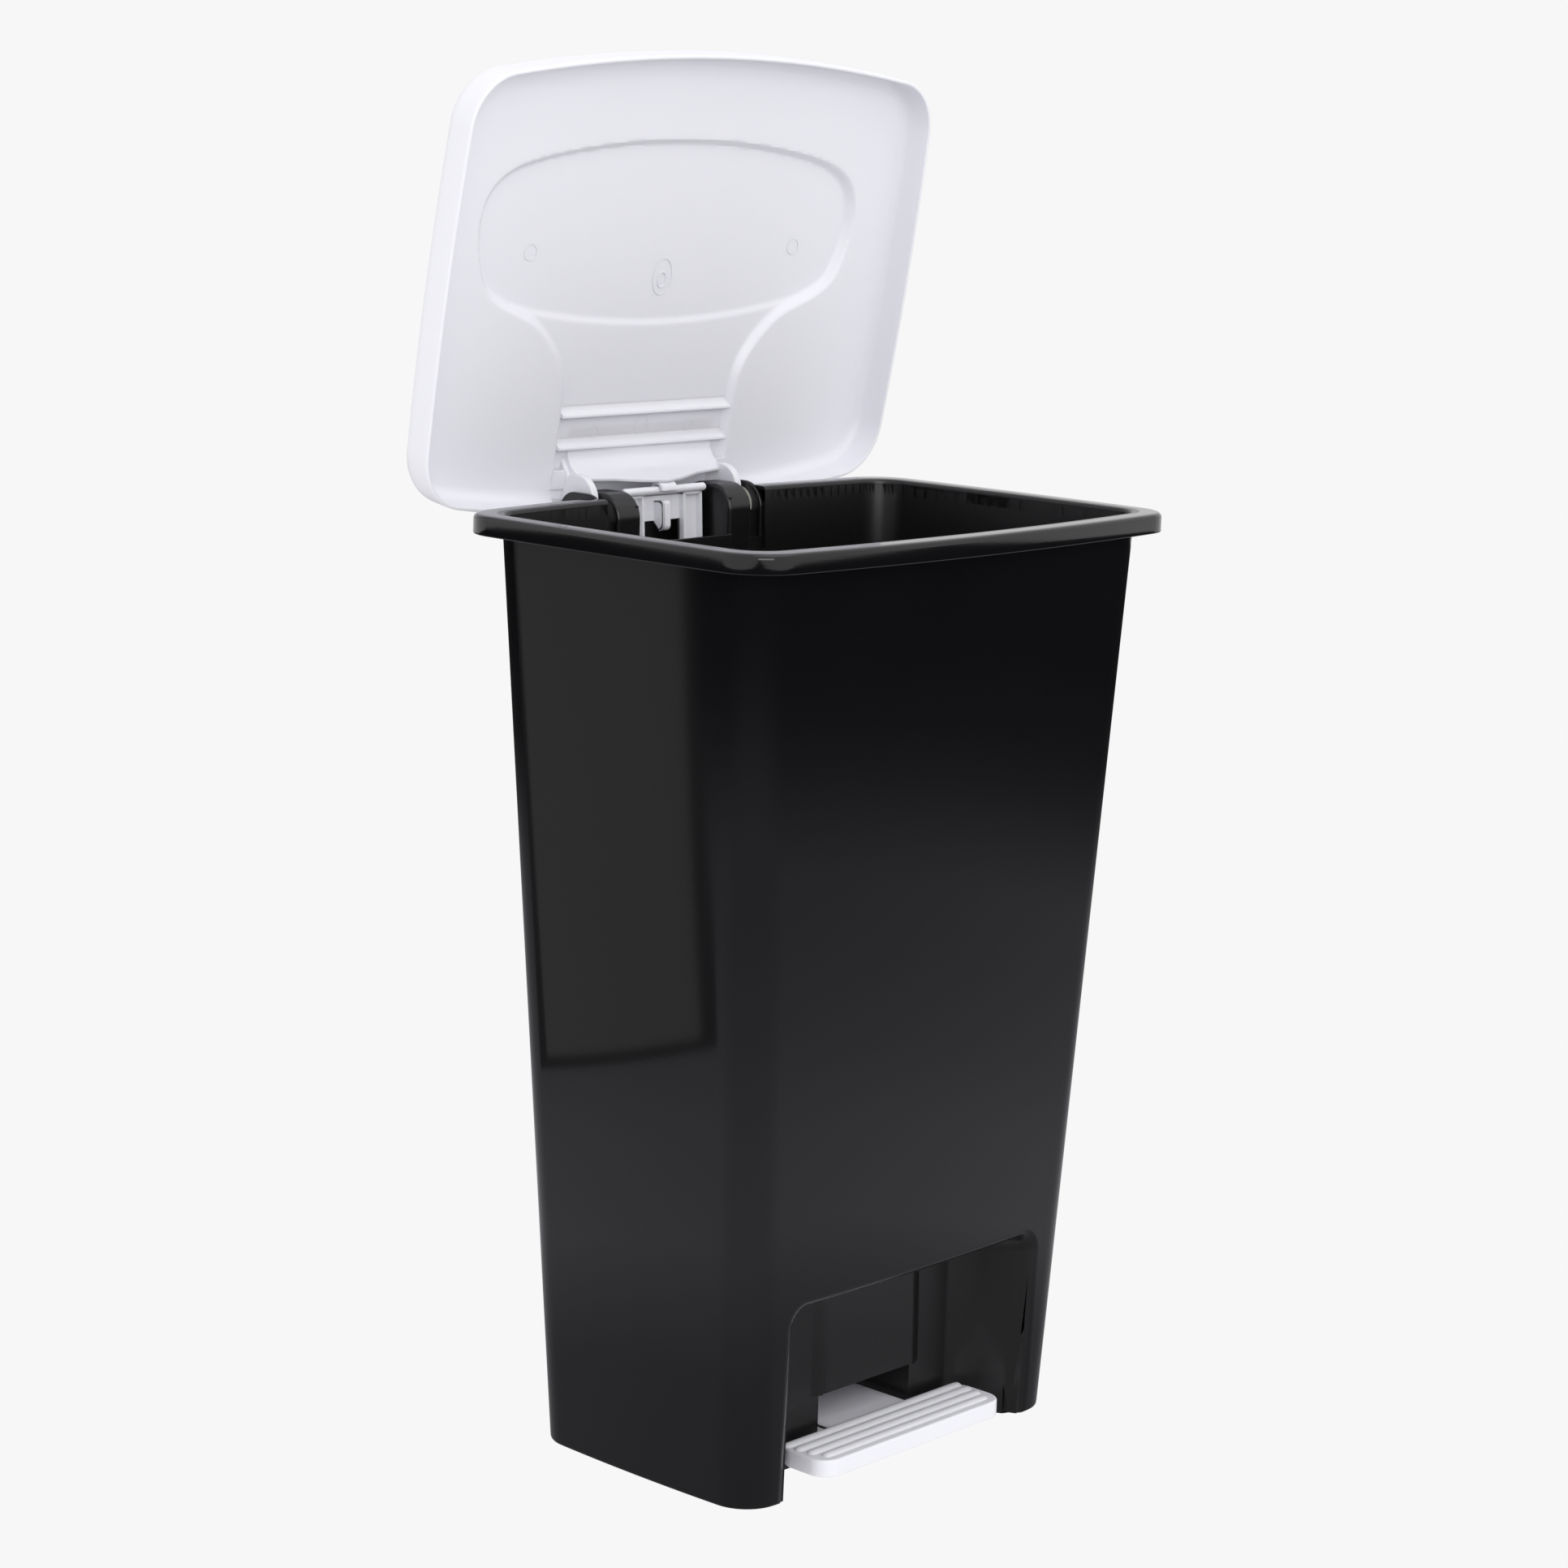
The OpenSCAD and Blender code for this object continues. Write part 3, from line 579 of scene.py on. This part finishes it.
# The beak hangs under the neck and hooks over the rod's crossbar.
BAR_Y, BAR_Z, BAR_R = -13.21, 2.84, 2.75
FACE = BAR_Y - BAR_R - 3.0
BEAK_T = 2.4
sections = []
for x in np.linspace(-66, 66, 79):
    away = abs(x)
    low = float(np.interp(away, [0, 8, 39.5, 66], [BAR_Z - 3, BAR_Z - 3, 11.5, 16.0]))
    low += 1.2*math.exp(-((away - 8)/3)**2)
    front = FACE - BEAK_T
    root = [(-50, 32.3), (-44, 31.9), (-37, 30.9), (-31.5, 29.0), (-27.2, 25.8), (-24.4, 21.8),
            (front - 0.9, 17.8)]
    path = [(y, max(z, low + 1.6)) for y, z in root]
    path += [(front - 0.1, low + 1.2), (front + 0.25, low + 0.35), (front + 1.2, low), (FACE - 0.25, low + 0.35),
             (FACE, low + 1.2), (FACE, 24), (FACE, 30), (FACE - 3, 33.4), (-50, 33.4)]
    sections.append(np.array([(x, y, z) for y, z in path]))
beak = loft("beak", sections)
hook_outer = [(BAR_Y + (BAR_R + 3.1)*math.cos(a), BAR_Z + (BAR_R + 3.1)*math.sin(a))
              for a in np.radians(np.linspace(88, 262, 22))]
hook_inner = [(BAR_Y + (BAR_R + 0.7)*math.cos(a), BAR_Z + (BAR_R + 0.7)*math.sin(a))
              for a in np.radians(np.linspace(262, 88, 22))]
hook = along_x("hook", hook_outer + hook_inner, -7, 7)
round_edges(hook, 0.5, 2)

# Two shelf ribs cross the neck, and the mould leaves its marks: ejector rings and the gate.
ribs = []
for u in (62.4, 41.0):
    y = LID_BACK - u
    shelf = [(y - 6.5, PLATE + 4.9), (y - 3.2, PLATE + 3.4), (y - 1.5, PLATE + 1.2), (y - 1.1, PLATE - 0.2),
             (y - 0.5, PLATE - 0.6), (y + 0.4, PLATE - 0.6), (y + 0.8, PLATE - 0.2), (y + 0.8, PLATE + 5.6)]
    rib = along_x("rib", shelf + [(y - 6.5, PLATE + 5.6)], -77.4, 77.4)
    ribs.append(rib)


def mark_ring(x, u, across, along, thick=0.35):
    """A low ring left on the underside of the sheet."""
    y = LID_BACK - u
    z = PLATE + float(panel_lift(np.array([[x, y]]))[0])
    rings = []
    for t in np.linspace(0, 2*math.pi, 41)[:-1]:
        out = np.array([math.cos(t), math.sin(t)])
        centre = np.array([x + across*out[0], y + along*out[1]])
        rings.append(np.array([(*(centre + out*thick*math.cos(b)), z + thick*math.sin(b))
                               for b in np.linspace(0, 2*math.pi, 9)[:-1]]))
    return loft("mark", rings, endless=True)


marks = [mark_ring(-121, 170, 5.2, 5.2), mark_ring(121, 170, 5.2, 5.2), mark_ring(0, 152, 8.6, 12.0, 0.4),
         mark_ring(0, 150, 3.6, 5.0, 0.7), mark_ring(0, 52, 6.2, 6.2, 0.3), mark_ring(-44, 50, 4.0, 4.0, 0.22),
         mark_ring(44, 50, 4.0, 4.0, 0.22), mark_ring(-30, 30, 4.0, 4.0, 0.22), mark_ring(30, 30, 4.0, 4.0, 0.22)]
lid = finish_shading(join("lid_moulding", [sheet, beak, hook] + ears + ribs + marks), 40)
lid.data.transform(Matrix.Translation(Vector(HINGE*MM)) @ Matrix.Rotation(-OPEN, 4, "X"))
white = plastic("white_plastic", (0.83, 0.83, 0.885), 0.34, tint=0.012, grain=0.05, glow=0.2)
lid.data.materials.clear()
lid.data.materials.append(white)
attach(lid, "lid")
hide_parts("lid")

# ---- The lift rod -------------------------------------------------------------------------------
# A white moulding with two channel legs, tied by rungs, and a round crossbar that the beak hooks
# over. A small flanged bracket stands out between the legs, just under the bar.
FOOT = np.array([0.0, 112.0, 24.0])
BAR_TOP = np.array([0.0, 143.5, 600.0])
ROD_LEAN = math.atan2(BAR_TOP[1] - FOOT[1], BAR_TOP[2] - FOOT[2])
ROD_LENGTH = float(np.linalg.norm(BAR_TOP - FOOT))
LEG_IN, LEG_OUT, LEG_DEPTH, SHEET = 18.2, 36.0, 6.0, 2.2
rod_parts = [turned("crossbar", [(-38, 0.05), (-38, 1.2), (-37.5, 2.2), (-36.6, BAR_R), (36.6, BAR_R), (37.5, 2.2),
                                 (38, 1.2), (38, 0.05)], [0, 0, ROD_LENGTH], 32)]
for side in (-1, 1):
    for x0, x1, y0, z1 in ((LEG_IN, LEG_IN + SHEET, 0, ROD_LENGTH), (LEG_OUT - SHEET, LEG_OUT, 0, ROD_LENGTH),
                           (LEG_IN, LEG_OUT, LEG_DEPTH - SHEET, ROD_LENGTH)):
        a, b = sorted((side*x0, side*x1))
        rod_parts.append(round_edges(block("flange", (a, y0, -4), (b, LEG_DEPTH, z1)), 0.5, 2))
    a, b = sorted((side*LEG_IN, side*LEG_OUT))
    rod_parts.append(round_edges(block("cap", (a, 0, ROD_LENGTH - 4.6), (b, LEG_DEPTH, ROD_LENGTH - 1)), 0.6, 2))
    for x0, x1 in ((LEG_IN, LEG_IN + SHEET), (LEG_OUT - SHEET, LEG_OUT)):
        rod_parts.append(turned("eye", [(side*x0, 2.5), (side*x0, 6), (side*x1, 6), (side*x1, 2.5)], [0, 0, 0]))
top = ROD_LENGTH - BAR_R - 1
rod_parts.append(round_edges(block("back", (-19, LEG_DEPTH - SHEET, top - 16.5), (19, LEG_DEPTH, top)), 0.5, 2))
for i in range(1, 5):
    z = ROD_LENGTH*i/5
    rod_parts.append(round_edges(block("rung", (-19, LEG_DEPTH - SHEET, z - 5), (19, LEG_DEPTH, z + 5)), 0.5, 2))
BRACKET_TOP, BRACKET_FRONT = ROD_LENGTH - 6.7, -4.5


def bracket_path(inset):
    """Side view of the bracket, from its top at the back, round the front and down to its foot."""
    front, high, low = BRACKET_FRONT + inset, BRACKET_TOP - inset, BRACKET_TOP - 20 + inset
    corner = [(front + 2.5 - 2.5*math.sin(a), high - 2.5 + 2.5*math.cos(a))
              for a in np.radians([0, 30, 60, 90])]
    toe = [(front + 4 - 4*math.cos(a), low + 4 - 4*math.sin(a))
           for a in np.radians([0, 22, 45, 67, 90])]
    return [(LEG_DEPTH - 1, high)] + corner + toe + [(LEG_DEPTH - 1, low + 6.5)]


plate = along_x("bracket_plate", bracket_path(0.0), -5.6, -4.2)
rim_of_plate = along_x("bracket_flange", bracket_path(0.0) + bracket_path(1.5)[::-1], -5.6, 1.4)
round_edges(rim_of_plate, 0.6, 3)
rod = finish_shading(join("lift_rod_moulding", rod_parts + [plate, rim_of_plate]))
rod_place = Matrix.Translation(Vector(FOOT*MM)) @ Matrix.Rotation(-ROD_LEAN, 4, "X")
rod.data.transform(rod_place)
rod.data.materials.clear()
rod.data.materials.append(white)
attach(rod, "rod")
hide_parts("lift_rod")

# ---- The pedal ----------------------------------------------------------------------------------
# A white rocker: a ribbed tread at the front, a flat arm through the tunnel, a hub on the axle and
# a tail that carries the rod's foot.
AXLE = np.array([0.0, 50.0, 13.0])
TREAD_BACK, TREAD_FRONT, TREAD_HALF = -61.5, -103.5, 87.5
TREAD_LOW, TREAD_TOP = 9.6, 20.6


def rounded_plan(x0, x1, y0, y1, radius, steps=9):
    pts = []
    for cx, cy, a0 in ((x1 - radius, y1 - radius, 0), (x0 + radius, y1 - radius, 90),
                       (x0 + radius, y0 + radius, 180), (x1 - radius, y0 + radius, 270)):
        pts += [(cx + radius*math.cos(a), cy + radius*math.sin(a))
                for a in np.radians(np.linspace(a0, a0 + 90, steps))]
    return np.array(pts)


def tread_ring(z, inset, radius=13.0):
    half = TREAD_HALF - inset
    return at_height(rounded_plan(-half, half, TREAD_FRONT + inset, TREAD_BACK - inset, radius - inset), z)


tread_rings = [tread_ring(TREAD_TOP - drop, inset) for drop, inset in ((3, 9), (3, 4.5), (3.4, 3.4), (4.4, 3.0))]
tread_rings += [tread_ring(TREAD_LOW, 2.8), tread_ring(TREAD_LOW, 0.4), tread_ring(TREAD_LOW + 0.4, 0.0)]
tread_rings += [tread_ring(TREAD_TOP - 1.6, 0.0)]
for a in np.radians([25, 50, 70, 90]):
    tread_rings.append(tread_ring(TREAD_TOP - 1.6 + 1.6*math.sin(a), 1.6*(1 - math.cos(a))))
tread = loft("tread", tread_rings + [tread_ring(TREAD_TOP, 7.5)])
pedal_parts = [tread]
for i in range(4):
    y = TREAD_BACK - 5.0 - 9.2*i
    reach = (85.6, 85.0, 83.4, 79.5)[i]
    rings = []
    for t in np.linspace(-1, 1, 25):
        x = reach*math.copysign(1, t)*(1 - (1 - abs(t))**2) if abs(t) < 1 else reach*t
        end = max(0.02, 1 - max(0, (abs(x) - reach + 4.0)/4.0)**2)**0.5
        rings.append(np.array([(x, y + 4.15*end*math.cos(a), TREAD_TOP - 1.2 + 3.0*end*math.sin(a))
                               for a in np.linspace(0, 2*math.pi, 25)[:-1]]))
    pedal_parts.append(loft("tread_rib", rings))
arm = loft("arm", [at_height(rounded_plan(-36.5, 36.5, TREAD_BACK - 3, 70, 1.5, 4), z) for z in (16.8, 20.0)])
round_edges(arm, 0.6, 2)
pedal_parts.append(arm)
for side in (-1, 1):
    a, b = sorted((side*33.5, side*36.5))
    pedal_parts.append(round_edges(block("arm_wall", (a, TREAD_BACK - 2, TREAD_LOW), (b, 70, 19.5)), 0.6, 2))
pedal_parts.append(round_edges(block("arm_end", (-36.5, 67, TREAD_LOW), (36.5, 70, 19.5)), 0.6, 2))
hub = turned("hub", [(-43.4, 3.1), (-43.4, 6.4), (-42.8, 7), (42.8, 7), (43.4, 6.4), (43.4, 3.1), (-43.4, 3.1)], AXLE)
tail = along_x("tail", [(50, 8), (70, 8), (111, 18), (112, 30), (102, 30), (70, 20), (50, 20)], -16, 16)
round_edges(tail, 0.8, 2)
tail_eye = turned("tail_eye", [(-16, 2.6), (-16, 6), (16, 6), (16, 2.6), (-16, 2.6)], FOOT)
carve(tail, turned("tail_hole", [(-20, 2.58), (20, 2.58)], FOOT))
carve(tail, turned("hub_hole", [(-20, 3.1), (20, 3.1)], AXLE))
pedal = finish_shading(join("pedal_moulding", pedal_parts + [hub, tail, tail_eye]))
pedal.data.materials.clear()
pedal.data.materials.append(white)
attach(pedal, "pedal")
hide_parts("pedal")

# ---- The axle, its caps and the rod's pin -------------------------------------------------------
# Bright zinc-plated steel: the pedal's axle lies across the tunnel ribs with a push-on cap at each
# end, and a short pin with riveted ends joins the rod to the pedal's tail.
zinc = bpy.data.materials.new("zinc_plated_steel")
zinc.use_nodes = True
zinc_nodes, zinc_links = zinc.node_tree.nodes, zinc.node_tree.links
zinc_shader = zinc_nodes["Principled BSDF"]
zinc_shader.inputs["Metallic"].default_value = 1.0
zinc_place = zinc_nodes.new("ShaderNodeTexCoord")
streaks = zinc_nodes.new("ShaderNodeTexNoise")
streaks.inputs["Scale"].default_value = 400
streaks.inputs["Detail"].default_value = 5
zinc_links.new(zinc_place.outputs["Object"], streaks.inputs["Vector"])
shine = zinc_nodes.new("ShaderNodeMapRange")
shine.inputs["To Min"].default_value, shine.inputs["To Max"].default_value = 0.25, 0.5
zinc_links.new(streaks.outputs["Fac"], shine.inputs["Value"])
zinc_links.new(shine.outputs["Result"], zinc_shader.inputs["Roughness"])
zinc_tone = zinc_nodes.new("ShaderNodeValToRGB")
zinc_tone.color_ramp.elements[0].color = (0.42, 0.43, 0.44, 1)
zinc_tone.color_ramp.elements[1].color = (0.62, 0.63, 0.64, 1)
zinc_links.new(streaks.outputs["Fac"], zinc_tone.inputs["Fac"])
zinc_links.new(zinc_tone.outputs["Color"], zinc_shader.inputs["Base Color"])


def steel_piece(name, profile, centre, body_name, node):
    piece = turned(name, profile, centre, 40)
    piece.data.materials.append(zinc)
    finish_shading(piece)
    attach(piece, body_name)
    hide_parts(node)
    return piece


steel_piece("pedal_axle_rod", [(-50.5, 0.05), (-50.5, 2.5), (-50, 3), (50, 3), (50.5, 2.5), (50.5, 0.05)],
            AXLE, "base", "pedal_axle")
for side, name in ((-1, "left"), (1, "right")):
    cap = [(46.5, 3.0), (46.5, 6.0), (47.5, 6.0), (48.2, 5.2), (51.0, 4.6), (51.8, 3.8), (52.0, 2.4), (52.0, 0.05)]
    steel_piece("axle_cap_" + name + "_pressing", [(side*x, r) for x, r in [(50.5, 0.05), (50.5, 3.0)] + cap],
                AXLE, "base", "axle_cap_" + name)
rivet = [(-38, 0.05), (-38, 3.4), (-37.4, 4.3), (-36, 4.3), (-36, 2.5), (36, 2.5), (36, 4.3), (37.4, 4.3),
         (38, 3.4), (38, 0.05)]
steel_piece("rod_pin_rivet", rivet, FOOT, "rod", "rod_pin")

# ---- The studio ---------------------------------------------------------------------------------
# A pale floor that glows like the background, a soft lamp overhead, another in front, and a long
# lens. Glowing cards on the floor are painted reflections, seen only in the gloss of the black plastic.
tone = 0.93


def glowing(name, strength):
    mat = bpy.data.materials.new(name)
    mat.use_nodes = True
    mat.node_tree.nodes.clear()
    lamp = mat.node_tree.nodes.new("ShaderNodeEmission")
    lamp.inputs["Color"].default_value = (1, 1, 1, 1)
    lamp.inputs["Strength"].default_value = strength
    out = mat.node_tree.nodes.new("ShaderNodeOutputMaterial")
    mat.node_tree.links.new(lamp.outputs[0], out.inputs["Surface"])
    return mat, lamp


def sheet_on_floor(name, corners, height, mat):
    obj = bpy.data.objects.new(name, bpy.data.meshes.new(name))
    obj.data.from_pydata([(x, y, height) for x, y in corners], [], [tuple(range(len(corners)))])
    bpy.context.collection.objects.link(obj)
    obj.data.materials.append(mat)
    return obj


sheet_on_floor("floor", [(-14, -14), (14, -14), (14, 14), (-14, 14)], -0.0005, glowing("pale_floor", tone)[0])
# A glowing card graded from mid grey to dark lies round the bin, hidden from the camera and from diffuse
# light. It is a painted reflection: the black mirrors it, and its darker rings paint the black's depth.
painted_reflection_mat, painted_reflection_glow = glowing("painted_reflection_card", 1.0)
painted_reflection_nodes, painted_reflection_links = painted_reflection_mat.node_tree.nodes, painted_reflection_mat.node_tree.links
spot_on_floor = painted_reflection_nodes.new("ShaderNodeTexCoord")
far = painted_reflection_nodes.new("ShaderNodeVectorMath")
far.operation = "LENGTH"
painted_reflection_links.new(spot_on_floor.outputs["Object"], far.inputs[0])
reach_of_painted_reflection = painted_reflection_nodes.new("ShaderNodeMapRange")
reach_of_painted_reflection.inputs["From Max"].default_value = 4.0
painted_reflection_links.new(far.outputs["Value"], reach_of_painted_reflection.inputs["Value"])
shade = painted_reflection_nodes.new("ShaderNodeValToRGB")
# Levels of the painted reflection, by distance from the bin in metres.
steps = [(0.0, 0.25), (0.30, 0.30), (0.50, 0.52), (0.70, 0.48), (0.90, 0.38), (1.15, 0.32), (1.42, 0.29),
         (1.64, 0.19), (1.85, 0.10), (2.1, 0.045), (2.6, 0.02)]
while len(shade.color_ramp.elements) < len(steps):
    shade.color_ramp.elements.new(0.5)
for element, (metres, level) in zip(shade.color_ramp.elements, steps):
    element.position = metres/4
    element.color = (level, level, level*1.06, 1)
painted_reflection_links.new(reach_of_painted_reflection.outputs["Result"], shade.inputs["Fac"])
painted_reflection_links.new(shade.outputs["Color"], painted_reflection_glow.inputs["Color"])
painted_reflection_card = sheet_on_floor("painted_reflection_card", [(-4, -4), (4, -4), (4, 4), (-4, 4)], 0.0006, painted_reflection_mat)
# A pale glowing card with a dark glowing border lies behind the bin's left, widening as it runs off.
# Both are painted reflection: the glossy side mirrors them as a tall pale panel with a dark edge.
CARD_START, CARD_HEADING = np.array([-0.70, 0.57]), math.radians(132)
CARD_LENGTH, CARD_NEAR_WIDTH, CARD_FAR_WIDTH, REFLECTION_EDGE_WIDTH = 2.2, 0.24, 0.62, 0.03


def card_corners(border):
    ahead = np.array([math.cos(CARD_HEADING), math.sin(CARD_HEADING)])
    aside = np.array([-ahead[1], ahead[0]])
    near = CARD_START - border*ahead
    end = CARD_START + (CARD_LENGTH + border)*ahead
    near_half, end_half = CARD_NEAR_WIDTH/2 + border, CARD_FAR_WIDTH/2 + border
    return [tuple(near + near_half*aside), tuple(near - near_half*aside),
            tuple(end - end_half*aside), tuple(end + end_half*aside)]


# Painted reflection: a dark glowing border under a pale glowing panel, seen only in the black's gloss.
painted_reflection_edge = sheet_on_floor("painted_reflection_edge", card_corners(REFLECTION_EDGE_WIDTH), 0.0009, glowing("painted_reflection_edge", 0.1)[0])
painted_reflection_panel = sheet_on_floor("painted_reflection_panel", card_corners(0), 0.0012, glowing("painted_reflection_panel", 0.40)[0])
# The cards give painted reflections only: the camera, diffuse light and shadows pass them by.
for piece in (painted_reflection_card, painted_reflection_edge, painted_reflection_panel):
    piece.visible_camera = False
    piece.visible_diffuse = False
    piece.visible_shadow = False
world = bpy.data.worlds.new("studio")
world.use_nodes = True
world.node_tree.nodes["Background"].inputs["Color"].default_value = (tone, tone, tone, 1)
world.node_tree.nodes["Background"].inputs["Strength"].default_value = 1.0
bpy.context.scene.world = world


def soft_lamp(name, place, target, width, height, power):
    data = bpy.data.lights.new(name, "AREA")
    data.shape, data.size, data.size_y, data.energy = "RECTANGLE", width, height, power
    lamp = bpy.data.objects.new(name, data)
    bpy.context.collection.objects.link(lamp)
    lamp.location = place
    lamp.rotation_euler = (Vector(target) - Vector(place)).to_track_quat("-Z", "Y").to_euler()
    return lamp


soft_lamp("overhead", (0.3, -0.7, 3.0), (0, 0, 0.4), 2.2, 1.8, 10)
soft_lamp("front_fill", (-1.5, -2.4, 1.5), (0, 0.15, 0.75), 1.6, 1.6, 24)
camera = bpy.data.objects.new("camera", bpy.data.cameras.new("camera"))
bpy.context.collection.objects.link(camera)
bpy.context.scene.camera = camera
AZIMUTH, PITCH, ROLL = (math.radians(a) for a in (-47.37, 9.631, 1.672))
CAMERA_AWAY, CAMERA_ASIDE, CAMERA_ABOVE = 2.4256, -0.0176, 0.1729
away = Vector((math.sin(AZIMUTH)*math.cos(PITCH), -math.cos(AZIMUTH)*math.cos(PITCH), math.sin(PITCH)))
right = (-away).cross(Vector((0, 0, 1))).normalized()
up = right.cross(-away)
right, up = (math.cos(ROLL)*right + math.sin(ROLL)*up, -math.sin(ROLL)*right + math.cos(ROLL)*up)
spot = Vector((0, 0, 0.3)) + away*CAMERA_AWAY + right*CAMERA_ASIDE + up*CAMERA_ABOVE
turn = Matrix((right, up, away)).transposed()
camera.matrix_world = Matrix.Translation(spot) @ turn.to_4x4()
camera.data.sensor_width = 36
camera.data.lens = 86.4
camera.data.shift_y = -0.0497
camera.data.dof.use_dof = False
camera.data.clip_start, camera.data.clip_end = 0.05, 60
bpy.context.scene.view_settings.view_transform = "Standard"
